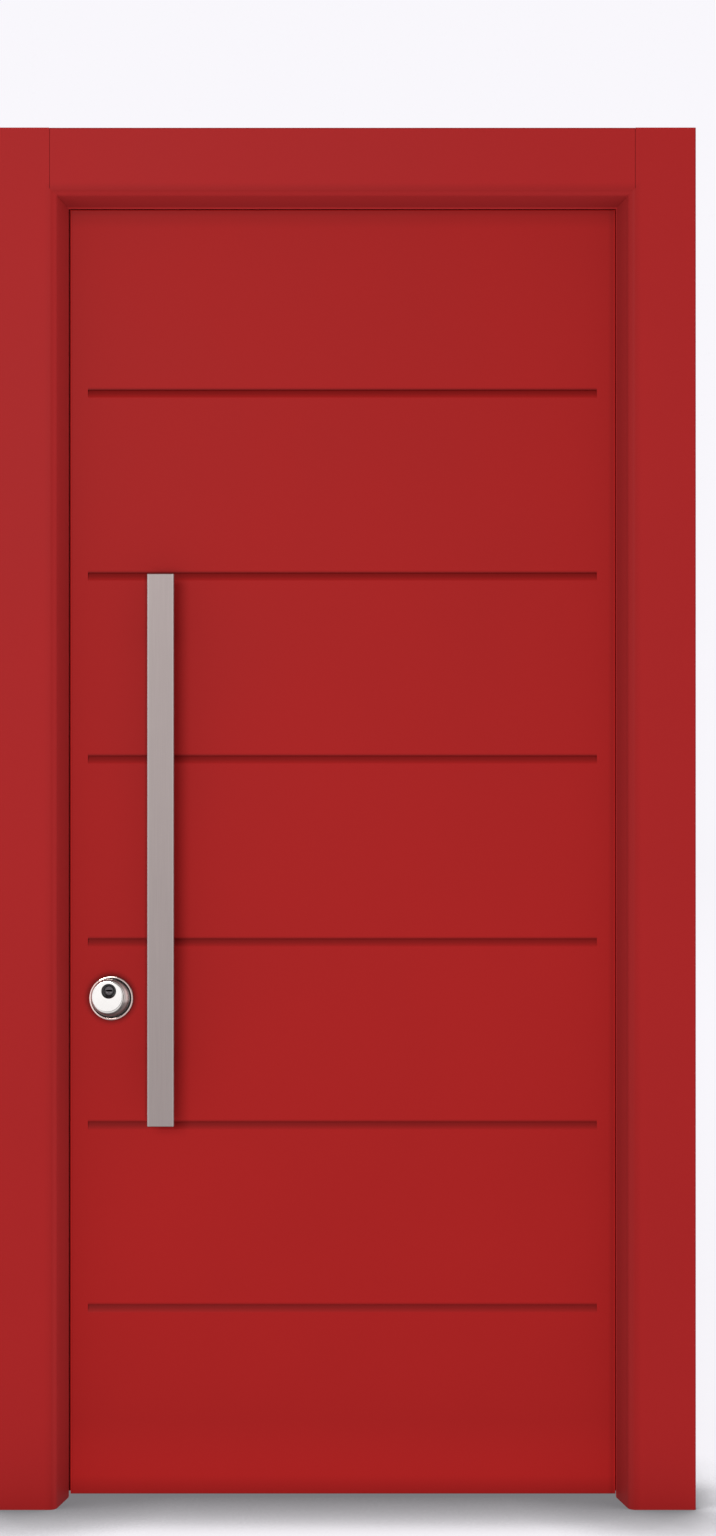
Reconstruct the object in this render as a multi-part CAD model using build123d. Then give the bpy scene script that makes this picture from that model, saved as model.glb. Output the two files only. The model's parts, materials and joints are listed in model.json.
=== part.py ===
from build123d import *
import math
import os

# A panelled security front door in its own pressed steel frame. Lengths are in millimetres.
# X runs across the door with the hinges at +X, Y runs from outside to inside, Z is up from the floor.
# Depths (Y) are measured from the frame's front face, and save() centres the whole door in Y.

# Clear opening and frame profile; "reach" is the distance outwards from the clear opening's edge
clear_half = 450.0
clear_top = 2117.0
sheet = 2.0
frame_reach = 123.0
crease_reach = 25.0
nose_corner_reach = 15.3
rebate_reach = 22.0
flange_reach = 80.0
reveal_depth = 60.0
stop_depth = 70.0
frame_depth = 136.0
lip_depth = 14.0
hem_width = 14.0
nose_radius = 12.5
bend_radius = 3.0
seam_gap = 0.8
frame_top = clear_top + frame_reach

# Leaf
leaf_bottom = 6.0
lock_edge = -464.0
hinge_edge = 467.0
tray_top = 2131.0
tray_front = 74.0
tray_back = 124.0
skin = 1.5
tray_lip = 15.0
cover_back = 125.5
panel_back = frame_depth
panel_left = -446.7
panel_right = 448.5
panel_top = 2115.0
inner_panel_inset = 6.0
stiffener_x = [-190.0, 70.0, 330.0]

# Six grooves, with their sharp top edges evenly spaced up the outer panel
groove_count = 6
groove_first = 317.0
groove_pitch = 300.6
groove_half_length = 418.0
groove_depth = 5.0
groove_height = 13.0

# Hinges: three lift-off hinges on one vertical axis, on the inner side
hinge_x = 476.0
hinge_y = 146.0
hinge_heights = [280.0, 1060.0, 1850.0]
knuckle_radius = 9.0
knuckle_length = 60.0
pin_radius = 5.0
running_gap = 0.05
washer_thickness = 1.0
wing_thickness = 4.0
wing_height = 118.0
wing_gap = 2.0
frame_wing_end = 529.0
leaf_wing_end = 405.0

# Locks, all on one line of depth behind the leaf's edge
bolt_depth = 100.0
lock_x = -382.3
cylinder_z = 834.5
spindle_z = cylinder_z + 85.0
case_front = -461.0
case_back = -344.0
case_wall = 2.0
case_half_depth = 15.0
case_low = 767.0
case_high = 961.0
faceplate_margin = 10.0
faceplate_half = 12.0
bolt_radius = 9.0
bolt_pitch = 32.0
bolt_length = 62.0
side_lock_heights = {"lower": 330.0, "upper": 1560.0}
side_case_half = 55.0
side_bolt_radius = 8.0
side_bolt_offset = 18.0
side_bolt_length = 50.0
slide_gap = 0.3
rod_x = -357.0
rod_y = 107.0
rod_width = 10.0
rod_thickness = 4.0
top_bolt_radius = 7.0
top_bolt_length = 60.0

# Profile cylinder with its round guard, outside to inside
profile_radius = 8.5
profile_leg_width = 10.0
profile_leg = 24.5
cylinder_front = 47.0
cylinder_back = 141.0
plug_radius = 6.95
cam_radius = 15.3
cam_half = 5.0
guard_x = -379.8
guard_z = 820.8
guard_radius = 36.5
guard_height = 20.0
guard_mouth_radius = 11.4
cap_foot_radius = 31.0
cap_radius = 24.0
cap_x = guard_x - 4.8
cap_z = guard_z + 4.8
cylinder_hole_radius = 20.0
cylinder_hole_z = cylinder_z - 8

# Pull bar and inner furniture
bar_width = 43.0
bar_x = -294.5
bar_low = 622.0
bar_high = 1517.0
bar_front = -6.0
bar_thickness = 12.0
post_radius = 10.0
post_inset = 100.0
rose_radius = 26.0
rose_height = 8.0
lever_radius = 9.0
lever_reach = 125.0
lever_back = 192.0
lever_bend = 14.0
spindle_width = 8.0

# Strike plates on the lock side, keeper in the head
strike_thickness = 2.5
strike_half = 17.0
window_margin = 2.0
latch_height = 28.0
latch_half_depth = 8.0
latch_reach = 12.0

# Drop seal in the leaf's bottom edge
seal_half = 6.5
seal_wall = 1.2
seal_top = 38.0

# Screws and wall fixings
screw_radius = 2.3
screw_head_radius = 4.4
screw_head_depth = 2.0
screw_gap = 0.2
screw_length = 20.0
fixing_radius = 5.0
fixing_depth = 124.0
fixing_heights = [150.0, 700.0, 1500.0, 2050.0]
fixing_head_x = [-300.0, 300.0]
dog_heights = [480.0, 870.0, 1270.0, 1660.0]
dog_radius = 6.0
dog_reach = 12.0

depth_centre = (bar_front + lever_back) / 2
os.makedirs("parts", exist_ok=True)


def save(name, *solids):
    placed = [Pos(0, -depth_centre, 0) * solid for solid in solids]
    export_step(placed[0] if len(placed) == 1 else Compound(placed), f"parts/{name}.step")


def block(x0, x1, y0, y1, z0, z1):
    return Pos((x0 + x1) / 2, (y0 + y1) / 2, (z0 + z1) / 2) * Box(x1 - x0, y1 - y0, z1 - z0)


def bar_along_x(radius, x0, x1, y, z):
    return Pos((x0 + x1) / 2, y, z) * Rot(0, 90, 0) * Cylinder(radius, x1 - x0)


def bar_along_y(radius, x, y0, y1, z):
    return Pos(x, (y0 + y1) / 2, z) * Rot(90, 0, 0) * Cylinder(radius, y1 - y0)


def bar_along_z(radius, x, y, z0, z1):
    return Pos(x, y, (z0 + z1) / 2) * Cylinder(radius, z1 - z0)


def plate_along_y(outline, y0, y1):
    # A prism through the depth, from its outline as the door is seen from outside (X, Z)
    face = make_face(Polyline(*outline, close=True))
    return extrude(Plane.XZ.offset(-y1) * face, amount=y1 - y0)


def bent_sheet(path, thickness, side=Side.RIGHT):
    return make_face(offset(path, amount=thickness, side=side, closed=True))


def turned(points, origin):
    # A solid turned about a Y axis: the points are (radius, depth)
    face = make_face(Polyline(*points, close=True))
    return Pos(*origin) * revolve(face, axis=Axis.Y)


# Screws: the shape points along -Z with the top of its head at the origin

def screw_shape(gap=0.0):
    # With a gap it is the countersunk hole's tool, which also clears the plate in front of the head
    head = screw_head_radius + gap
    shank = screw_radius + gap
    end = -screw_length - gap
    outline = [(0, 0), (head, 0), (shank, -screw_head_depth), (shank, end), (0, end)]
    if gap:
        outline = [(0, 1), (head, 1)] + outline[1:]
    return revolve(Plane.XZ * make_face(Polyline(*outline, close=True)), axis=Axis.Z)


def facing(direction, *point):
    return Plane(origin=point, z_dir=direction)


# Frame

def frame_section():
    path = FilletPolyline(
        (frame_reach - hem_width, lip_depth),
        (frame_reach, lip_depth),
        (frame_reach, 0),
        (nose_corner_reach, 0),
        (0, reveal_depth),
        (0, stop_depth),
        (rebate_reach, stop_depth),
        (rebate_reach, frame_depth),
        (flange_reach, frame_depth),
        radius=[bend_radius, bend_radius, nose_radius, 8, bend_radius, 1, bend_radius],
    )
    return bent_sheet(path, sheet)


def gasket_section():
    # A glued foot with a hollow-looking round bead, pressed down by the closed leaf
    foot = 1.2
    bead = tray_front - stop_depth - slide_gap
    return make_face([
        Polyline((5, stop_depth + foot), (3, stop_depth + foot), (3, stop_depth), (13, stop_depth),
                 (13, stop_depth + foot), (11, stop_depth + foot)),
        ThreePointArc((11, stop_depth + foot), (8, stop_depth + bead), (5, stop_depth + foot)),
    ])


def frame_corner_side(reach_end, butt):
    # The hinge side's half of a top corner: mitred in the reveal, and on the face run to the top
    mitre = [(clear_half - 10, -1), (clear_half - 10, clear_top - 10)]
    if butt:
        elbow = clear_half + crease_reach
        mitre += [(elbow, clear_top + crease_reach), (elbow, frame_top)]
        return mitre + [(clear_half + reach_end, frame_top), (clear_half + reach_end, -1)]
    return mitre + [(clear_half + reach_end, clear_top + reach_end), (clear_half + reach_end, -1)]


def frame_corner_head(reach_end, butt):
    gap = seam_gap if butt else 0
    elbow = clear_half + (crease_reach if butt else reach_end) - gap
    right = [(clear_half - 10, clear_top - 10), (elbow, clear_top - clear_half + elbow)]
    if butt:
        right.append((elbow, frame_top + 1))
    return right + [(-x, z) for x, z in reversed(right)]


def upright(section):
    # A full-height member on the hinge side, trimmed to meet the head
    length = extrude(Pos(clear_half, 0, 0) * section, amount=frame_top)
    half = reveal_depth / 2
    front = plate_along_y(frame_corner_side(frame_reach + 1, True), -1, half)
    back = plate_along_y(frame_corner_side(flange_reach + 10, False), half, frame_depth + 1)
    return length & (front + back)


def header(section):
    half = reveal_depth / 2
    start = clear_half + frame_reach
    plane = Plane(origin=(start, 0, clear_top), x_dir=(0, 0, 1), z_dir=(-1, 0, 0))
    length = extrude(plane * section, amount=2 * start)
    front = plate_along_y(frame_corner_head(frame_reach + 1, True), -1, half)
    back = plate_along_y(frame_corner_head(flange_reach + 10, False), half, frame_depth + 1)
    return length & (front + back)


def strikes():
    # Each strike: its centre height, half height, windows as (height, half height), and screw heights
    half = bolt_radius + window_margin
    main = {
        "centre": (case_low + case_high) / 2 + 4,
        "half": 100.0,
        "windows": [(cylinder_z + n * bolt_pitch, half) for n in (-1, 0, 1)]
        + [(spindle_z, latch_height / 2 + 3)],
        "screws": [case_low + 8, case_high],
    }
    plates = {"main": main}
    for name, centre in side_lock_heights.items():
        plates[name] = {
            "centre": centre,
            "half": 50.0,
            "windows": [(centre + n * side_bolt_offset, side_bolt_radius + window_margin) for n in (-1, 1)],
            "screws": [centre - 42, centre + 42],
        }
    return plates


def strike_plate(strike):
    wall = -clear_half - rebate_reach
    plate = block(wall, wall + strike_thickness, bolt_depth - strike_half, bolt_depth + strike_half,
                  strike["centre"] - strike["half"], strike["centre"] + strike["half"])
    plate = fillet(plate.edges().filter_by(Axis.X), 6)
    half_depth = bolt_radius + window_margin
    for height, half in strike["windows"]:
        window = block(wall - 1, wall + 4, bolt_depth - half_depth, bolt_depth + half_depth,
                       height - half, height + half)
        plate -= fillet(window.edges().filter_by(Axis.X), 1.5)
    for height in strike["screws"]:
        plate -= facing((1, 0, 0), wall + strike_thickness, bolt_depth, height) * screw_shape(gap=screw_gap)
    return plate


def strike_screws():
    face = -clear_half - rebate_reach + strike_thickness
    screws = [facing((1, 0, 0), face, bolt_depth, height) * screw_shape()
              for strike in strikes().values() for height in strike["screws"]]
    face = clear_top + rebate_reach - strike_thickness
    return screws + [facing((0, 0, -1), rod_x + side * 26, rod_y, face) * screw_shape() for side in (-1, 1)]


def keeper_plate():
    wall = clear_top + rebate_reach
    half = top_bolt_radius + 3
    plate = block(rod_x - 35, rod_x + 35, rod_y - 14, rod_y + 14, wall - strike_thickness, wall)
    plate = fillet(plate.edges().filter_by(Axis.Z), 6)
    plate -= block(rod_x - half, rod_x + half, rod_y - half, rod_y + half, wall - 4, wall + 1)
    for x in (rod_x - 26, rod_x + 26):
        plate -= facing((0, 0, -1), x, rod_y, wall - strike_thickness) * screw_shape(gap=screw_gap)
    return plate


def jamb_lock_side():
    jamb = mirror(upright(frame_section()), about=Plane.YZ)
    wall = -clear_half - rebate_reach
    for strike in strikes().values():
        low = min(height - half for height, half in strike["windows"]) - 3
        high = max(height + half for height, half in strike["windows"]) + 3
        jamb -= block(wall - 4, wall + 1, bolt_depth - 13.5, bolt_depth + 13.5, low, high)
        for height in strike["screws"]:
            jamb -= bar_along_x(screw_radius + screw_gap, wall - 4, wall + 1, bolt_depth, height)
    for height in fixing_heights:
        jamb -= bar_along_x(fixing_radius, wall - 4, wall + 1, fixing_depth, height)
    return jamb


def jamb_hinge_side():
    jamb = upright(frame_section())
    wall = clear_half + rebate_reach
    for height in fixing_heights:
        jamb -= bar_along_x(fixing_radius, wall - 1, wall + 4, fixing_depth, height)
    for height in dog_heights:
        jamb -= bar_along_x(dog_radius + 2, wall - 1, wall + 4, bolt_depth, height)
    for z in hinge_heights:
        for x, y, height in frame_wing_screws(z):
            jamb -= bar_along_y(screw_radius + screw_gap, x, frame_depth - 4, frame_depth + 1, height)
    return jamb


def frame_head():
    head = header(frame_section())
    wall = clear_top + rebate_reach
    half = top_bolt_radius + 5
    head -= block(rod_x - half, rod_x + half, rod_y - half, rod_y + half, wall - 1, wall + 4)
    for side in (-1, 1):
        head -= bar_along_z(screw_radius + screw_gap, rod_x + side * 26, rod_y, wall - 1, wall + 4)
    for x in fixing_head_x:
        head -= bar_along_z(fixing_radius, x, fixing_depth, wall - 1, wall + 4)
    return head


def corner_plate():
    # Flat L plate welded behind the face, with a tab that backs the butt seam up to the head's top bend
    inner = clear_half + 38
    outer = clear_half + frame_reach - hem_width - 2
    leg = 85
    top = clear_top + frame_reach - hem_width - 2
    low = clear_top + 38
    seam = clear_half + crease_reach
    tab_top = frame_top - bend_radius - slide_gap
    outline = [(inner, low - leg), (outer, low - leg), (outer, top), (seam + 12, top), (seam + 12, tab_top),
               (seam - 12, tab_top), (seam - 12, top), (inner - leg, top), (inner - leg, low), (inner, low)]
    return plate_along_y(outline, sheet, sheet + 3)


# Hinges

def frame_wing_screws(z):
    return [(512.0, frame_depth + wing_thickness, z + step) for step in (-42, 0, 42)]


def leaf_wing_screws(z):
    return [(428.0, panel_back + wing_thickness, z + step) for step in (-42, 0, 42)]


def wing(x_end, x_near, x_knuckle, z, tab_low, tab_high, screws):
    low, high = sorted((x_end, x_near))
    half = wing_height / 2
    plate = block(low, high, frame_depth, frame_depth + wing_thickness, z - half, z + half)
    outer = plate.edges().filter_by(Axis.Y).group_by(Axis.X)[0 if x_end < x_near else -1]
    plate = fillet(outer, 8)
    low, high = sorted((x_near, x_knuckle))
    plate += block(low, high, frame_depth, frame_depth + wing_thickness, tab_low, tab_high)
    for place in screws:
        plate -= facing((0, 1, 0), *place) * screw_shape(gap=screw_gap)
    return plate


def hinge_frame_half(z):
    low = z - knuckle_length
    high = z - washer_thickness / 2
    plate = wing(frame_wing_end, hinge_x + knuckle_radius + wing_gap, hinge_x + 5, z, low + 3, high - 3,
                 frame_wing_screws(z))
    half = plate + bar_along_z(knuckle_radius, hinge_x, hinge_y, low, high)
    return half - bar_along_z(pin_radius + 0.02, hinge_x, hinge_y, low + 6, high + 1)


def hinge_leaf_half(z):
    low = z + washer_thickness / 2
    high = z + knuckle_length
    plate = wing(leaf_wing_end, hinge_x - knuckle_radius - wing_gap, hinge_x - 5, z, low + 3, high - 3,
                 leaf_wing_screws(z))
    half = plate + bar_along_z(knuckle_radius, hinge_x, hinge_y, low, high)
    return half - bar_along_z(pin_radius + running_gap, hinge_x, hinge_y, low - 1, high - 6)


def hinge_pin(z):
    pin = bar_along_z(pin_radius, hinge_x, hinge_y, z - knuckle_length + 6, z + knuckle_length - 8)
    return chamfer(pin.edges().filter_by(GeomType.CIRCLE), 1)


def hinge_washer(z):
    half = washer_thickness / 2
    ring = bar_along_z(knuckle_radius, hinge_x, hinge_y, z - half, z + half - 0.1)
    return ring - bar_along_z(pin_radius + running_gap, hinge_x, hinge_y, z - 1, z + 1)


# Leaf

def profile_prism(gap, y0, y1):
    # The lock cylinder's outline: a round plug housing with a narrow rounded leg under it
    radius = profile_radius + gap
    half = profile_leg_width / 2 + gap
    leg = block(lock_x - half, lock_x + half, y0, y1, cylinder_z - profile_leg - gap + half, cylinder_z)
    foot = bar_along_y(half, lock_x, y0, y1, cylinder_z - profile_leg - gap + half)
    return bar_along_y(radius, lock_x, y0, y1, cylinder_z) + leg + foot


def post_heights():
    return [bar_low + post_inset, bar_high - post_inset]


def leaf_tray():
    tray = block(lock_edge, hinge_edge, tray_front, tray_back, leaf_bottom, tray_top)
    tray = fillet(tray.edges().group_by(Axis.Y)[0], 2)
    tray -= block(lock_edge + skin, hinge_edge - skin, tray_front + skin, tray_back - skin,
                  leaf_bottom + skin, tray_top - skin)
    rim = skin + tray_lip
    tray -= block(lock_edge + rim, hinge_edge - rim, tray_back - 3, tray_back + 1,
                  leaf_bottom + rim, tray_top - rim)
    gap = 0.2
    for low, high in lock_faces():
        tray -= block(lock_edge - 1, lock_edge + 2, bolt_depth - faceplate_half - gap,
                      bolt_depth + faceplate_half + gap, low - gap, high + gap)
    for z in dog_heights:
        tray -= bar_along_x(dog_radius + gap, hinge_edge - 4, hinge_edge + 1, bolt_depth, z)
    tray -= bar_along_y(cylinder_hole_radius, lock_x, tray_front - 1, tray_front + 3, cylinder_hole_z)
    for z in post_heights():
        tray -= bar_along_y(fixing_radius + gap, bar_x, tray_front - 1, tray_front + 3, z)
    tray -= bar_along_z(top_bolt_radius + 1, rod_x, rod_y, tray_top - 4, tray_top + 1)
    tray -= block(lock_edge + 10, seal_end() + 2, bolt_depth - seal_half + seal_wall,
                  bolt_depth + seal_half - seal_wall, leaf_bottom - 1, leaf_bottom + 3)
    tray -= bar_along_x(4.3, hinge_edge - 4, hinge_edge + 1, bolt_depth, seal_plunger_z())
    return tray


def lock_faces():
    # Lowest and highest edge of each lock's faceplate
    faces = [(case_low - faceplate_margin, case_high + faceplate_margin)]
    for z in side_lock_heights.values():
        faces.append((z - side_case_half - faceplate_margin, z + side_case_half + faceplate_margin))
    return faces


def leaf_board(inset, y0, y1):
    return block(lock_edge + inset, hinge_edge - inset, y0, y1, leaf_bottom + inset, tray_top - inset)


def leaf_cover():
    cover = leaf_board(inner_panel_inset - 2, tray_back, cover_back)
    cover -= bar_along_y(14, lock_x, tray_back - 1, cover_back + 1, spindle_z)
    cover -= profile_prism(1.5, tray_back - 1, cover_back + 1)
    for z in hinge_heights:
        for x, y, height in leaf_wing_screws(z):
            cover -= bar_along_y(screw_radius + screw_gap, x, tray_back - 1, cover_back + 1, height)
    return cover


def inner_panel():
    panel = leaf_board(inner_panel_inset, cover_back, panel_back)
    panel = chamfer(panel.edges().group_by(Axis.Y)[-1], 1.2)
    panel -= bar_along_y(14, lock_x, cover_back - 1, panel_back + 1, spindle_z)
    panel -= profile_prism(1.5, cover_back - 1, panel_back + 1)
    for z in hinge_heights:
        for x, y, height in leaf_wing_screws(z):
            panel -= bar_along_y(screw_radius + screw_gap, x, cover_back - 1, panel_back + 1, height)
    return panel


def outer_panel():
    panel = block(panel_left, panel_right, reveal_depth, tray_front, leaf_bottom, panel_top)
    panel = fillet(panel.edges().group_by(Axis.Y)[0], 1.5)
    notch = [(reveal_depth - 1, 0), (reveal_depth + groove_depth, 0),
             (reveal_depth - 1, -groove_height * (1 + 1 / groove_depth))]
    face = Plane.YZ.offset(-groove_half_length) * make_face(Polyline(*notch, close=True))
    groove = extrude(face, amount=2 * groove_half_length)
    for n in range(groove_count):
        panel -= Pos(0, 0, groove_first + n * groove_pitch) * groove
    panel -= bar_along_y(cylinder_hole_radius, lock_x, reveal_depth - 1, tray_front + 1, cylinder_hole_z)
    for z in post_heights():
        panel -= bar_along_y(fixing_radius + 0.2, bar_x, reveal_depth - 1, tray_front + 1, z)
    return panel


def stiffener(x):
    # Omega section: two feet on the front skin and a crown just under the cover
    crown = tray_back - 1.4
    foot = tray_front + skin
    path = FilletPolyline(
        (x - 55, foot), (x - 25, foot), (x - 25, crown), (x + 25, crown), (x + 25, foot), (x + 55, foot),
        radius=2,
    )
    section = bent_sheet(path, 1.2, Side.LEFT)
    low = seal_top + 4
    high = tray_top - skin - tray_lip - 1
    return extrude(Pos(0, 0, low) * section, amount=high - low)


def dog_bolt(z):
    inside = hinge_edge - skin
    pin = bar_along_x(dog_radius, inside - 18, hinge_edge + dog_reach, bolt_depth, z)
    pin = chamfer(pin.edges().filter_by(GeomType.CIRCLE).group_by(Axis.X)[-1], 1.5)
    return pin + bar_along_x(dog_radius + 4, inside - 5, inside, bolt_depth, z)


# Main lock

def case_shell(low, high):
    y0 = bolt_depth - case_half_depth
    y1 = bolt_depth + case_half_depth
    shell = block(case_front, case_back, y0, y1, low, high)
    shell -= block(case_front + case_wall, case_back - case_wall, y0 + case_wall, y1 - case_wall,
                   low + case_wall, high - case_wall)
    return shell


def rod_slot(low, high):
    return block(rod_x - rod_width / 2 - slide_gap, rod_x + rod_width / 2 + slide_gap,
                 rod_y - rod_thickness / 2 - slide_gap, rod_y + rod_thickness / 2 + slide_gap, low, high)


def lock_case():
    case = case_shell(case_low, case_high)
    for n in (-1, 0, 1):
        case -= bar_along_x(bolt_radius + slide_gap, case_front - 1, case_front + 3, bolt_depth,
                            cylinder_z + n * bolt_pitch)
    case -= latch_head(slide_gap, case_front - 1, case_front + 3)
    case -= profile_prism(0.5, bolt_depth - 20, bolt_depth + 20)
    case -= bar_along_y(spindle_width / 2 + 4, lock_x, bolt_depth - 20, bolt_depth + 20, spindle_z)
    return case - rod_slot(case_low - 1, case_high + 1)


def faceplate(low, high):
    y0 = bolt_depth - faceplate_half
    y1 = bolt_depth + faceplate_half
    plate = block(lock_edge, case_front, y0, y1, low, high)
    return fillet(plate.edges().filter_by(Axis.X), 3)


def lock_faceplate():
    low, high = lock_faces()[0]
    plate = faceplate(low, high)
    for n in (-1, 0, 1):
        plate -= bar_along_x(bolt_radius + slide_gap, lock_edge - 1, case_front + 1, bolt_depth,
                             cylinder_z + n * bolt_pitch)
    plate -= latch_head(slide_gap, lock_edge - 1, case_front + 1)
    for z in (low + 5, high - 5):
        plate -= facing((-1, 0, 0), lock_edge, bolt_depth, z) * screw_shape(gap=screw_gap)
    return plate


def faceplate_screws():
    low, high = lock_faces()[0]
    return [facing((-1, 0, 0), lock_edge, bolt_depth, z) * screw_shape() for z in (low + 5, high - 5)]


def latch_head(gap, x0, x1):
    half = latch_height / 2 + gap
    return block(x0, x1, bolt_depth - latch_half_depth - gap, bolt_depth + latch_half_depth + gap,
                 spindle_z - half, spindle_z + half)


def latch_bolt():
    tip = lock_edge - latch_reach
    head = latch_head(0, tip, case_front + 14)
    near = bolt_depth - latch_half_depth
    bevel = make_face(Polyline((tip - 1, near - 1), (tip + 13, near - 1), (tip - 1, near + 15), close=True))
    head -= extrude(Pos(0, 0, spindle_z - 20) * bevel, amount=40)
    arm_low = spindle_z + 22
    tail = block(case_front + 10, lock_x + 14, bolt_depth - 4, bolt_depth + 4, arm_low, arm_low + 6)
    neck = block(case_front + 10, case_front + 14, bolt_depth - 4, bolt_depth + 4, spindle_z, arm_low)
    hook = block(lock_x + 8, lock_x + 14, bolt_depth - 4, bolt_depth + 4, spindle_z + 14, arm_low)
    return head + tail + neck + hook


def latch_follower():
    hub = bar_along_y(12, lock_x, bolt_depth - 6, bolt_depth + 6, spindle_z)
    hub += block(lock_x - 3, lock_x + 3, bolt_depth - 4, bolt_depth + 4, spindle_z + 8, spindle_z + 20)
    return hub - spindle_bar(0.1, bolt_depth - 10, bolt_depth + 10)


def spindle_bar(gap, y0, y1):
    half = spindle_width / 2 + gap
    return block(lock_x - half, lock_x + half, y0, y1, spindle_z - half, spindle_z + half)


def main_bolts():
    bolts = []
    for n in (-1, 0, 1):
        bolt = bar_along_x(bolt_radius, lock_edge, lock_edge + bolt_length, bolt_depth,
                           cylinder_z + n * bolt_pitch)
        bolts.append(chamfer(bolt.edges().filter_by(GeomType.CIRCLE).group_by(Axis.X)[0], 1.5))
    return bolts


def bolt_carriage():
    x = lock_edge + bolt_length
    half = bolt_pitch + bolt_radius + 3
    return block(x, x + 4, bolt_depth - 7, bolt_depth + 7, cylinder_z - half, cylinder_z + half)


# Side locks

def side_lock_case(z):
    case = case_shell(z - side_case_half, z + side_case_half)
    reach = side_case_half + faceplate_margin
    case += faceplate(z - reach, z + reach)
    for side in (-1, 1):
        case -= bar_along_x(side_bolt_radius + slide_gap, lock_edge - 1, case_front + 3, bolt_depth,
                            z + side * side_bolt_offset)
    return case - rod_slot(z - side_case_half - 1, z + side_case_half + 1)


def side_bolts(z):
    x = lock_edge + side_bolt_length
    reach = side_bolt_offset + 10
    yoke = block(x, x + 4, bolt_depth - 6, bolt_depth + 6, z - reach, z + reach)
    for side in (-1, 1):
        bolt = bar_along_x(side_bolt_radius, lock_edge, x, bolt_depth, z + side * side_bolt_offset)
        yoke += chamfer(bolt.edges().filter_by(GeomType.CIRCLE).group_by(Axis.X)[0], 1.5)
    return yoke


def rod(z0, z1):
    return block(rod_x - rod_width / 2, rod_x + rod_width / 2, rod_y - rod_thickness / 2,
                 rod_y + rod_thickness / 2, z0, z1)


def top_bolt():
    bolt = bar_along_z(top_bolt_radius, rod_x, rod_y, tray_top - top_bolt_length, tray_top - 0.5)
    return chamfer(bolt.edges().filter_by(GeomType.CIRCLE).group_by(Axis.Z)[-1], 1.5)


# Cylinder, guard and thumbturn

def cylinder_body():
    body = profile_prism(0, cylinder_front, cylinder_back)
    bore = plug_radius + running_gap
    body -= bar_along_y(bore, lock_x, cylinder_front - 1, bolt_depth - cam_half, cylinder_z)
    body -= bar_along_y(bore, lock_x, bolt_depth + cam_half, cylinder_back + 1, cylinder_z)
    reach = cam_radius + 0.5
    return body - block(lock_x - 12, lock_x + 12, bolt_depth - cam_half, bolt_depth + cam_half,
                        cylinder_z - reach, cylinder_z + 12)


def key_plug():
    plug = bar_along_y(plug_radius, lock_x, cylinder_front, bolt_depth - cam_half - 0.5, cylinder_z)
    plug = chamfer(plug.edges().filter_by(GeomType.CIRCLE).group_by(Axis.Y)[0], 0.4)
    keyway = block(lock_x - 5.6, lock_x + 5.6, cylinder_front - 1, cylinder_front + 30,
                   cylinder_z - 1.3, cylinder_z + 1.3)
    return plug - keyway


def cylinder_cam():
    half = cam_half - 0.4
    cam = bar_along_y(profile_radius - 0.5, lock_x, bolt_depth - half, bolt_depth + half, cylinder_z)
    finger = block(lock_x - 3.9, lock_x + 3.9, bolt_depth - half, bolt_depth + half,
                   cylinder_z - cam_radius + 0.4, cylinder_z)
    return cam + finger


def cap_section(turn, foot, rise):
    # A circle of the cap's shoulder: turn runs from 0 degrees at its foot to 90 at its front face
    share = math.sin(math.radians(turn))
    radius = cap_radius + (cap_foot_radius - cap_radius) * math.cos(math.radians(turn))
    centre = (guard_x + share * (cap_x - guard_x), foot - share * rise, guard_z + share * (cap_z - guard_z))
    return Plane(origin=centre, z_dir=(0, -1, 0)) * Circle(radius)


def cylinder_guard():
    # A flat ring, a groove, and an eccentric rounded cap whose hole sits over the cylinder's plug
    face = reveal_depth
    front = face - guard_height
    foot = face - 4
    ring = guard_radius - 1.6
    groove = cap_foot_radius + 2.6
    profile = make_face([
        Polyline((0, foot), (0, face), (guard_radius, face), (guard_radius, face - 2)),
        ThreePointArc((guard_radius, face - 2), (guard_radius - 0.4, face - 3.4), (ring, foot)),
        Polyline((ring, foot), (groove, foot), (groove, face - 1.5), (cap_foot_radius, face - 1.5),
                 (cap_foot_radius, foot), (0, foot)),
    ])
    guard = Pos(guard_x, 0, guard_z) * revolve(profile, axis=Axis.Y)
    guard += loft([cap_section(22.5 * step, foot, foot - front) for step in range(5)])
    guard -= profile_prism(0.4, front + 6, face + 1)
    mouth = guard_mouth_radius
    funnel = [(0, front - 1), (mouth + 0.8, front - 1), (mouth + 0.8, front), (mouth, front + 0.8),
              (mouth, front + 7), (0, front + 7)]
    return guard - turned(funnel, (lock_x, 0, cylinder_z))


def thumbturn():
    base = panel_back + rose_height + 0.6
    stem = bar_along_y(plug_radius, lock_x, bolt_depth + cam_half + 0.1, base + 1.4, cylinder_z)
    outline = [(0, base), (14, base), (14, base + 3), (17, base + 6), (17, base + 22), (15.5, base + 24),
               (0, base + 24)]
    knob = turned(outline, (lock_x, 0, cylinder_z))
    for side in (-1, 1):
        knob -= Pos(side * 11, 0, 0) * block(lock_x - 6, lock_x + 6, base + 6, base + 30,
                                             cylinder_z - 20, cylinder_z + 20)
    return stem + knob


def rose(z):
    low = panel_back
    high = panel_back + rose_height
    rim = rose_radius
    disc = turned([(0, low), (rim, low), (rim, high - 2), (rim - 2, high), (0, high)], (lock_x, 0, z))
    if z == spindle_z:
        return disc - bar_along_y(lever_radius + 1, lock_x, low - 1, high + 1, z)
    return disc - profile_prism(0.3, low - 1, high + 1)


# Handles

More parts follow.
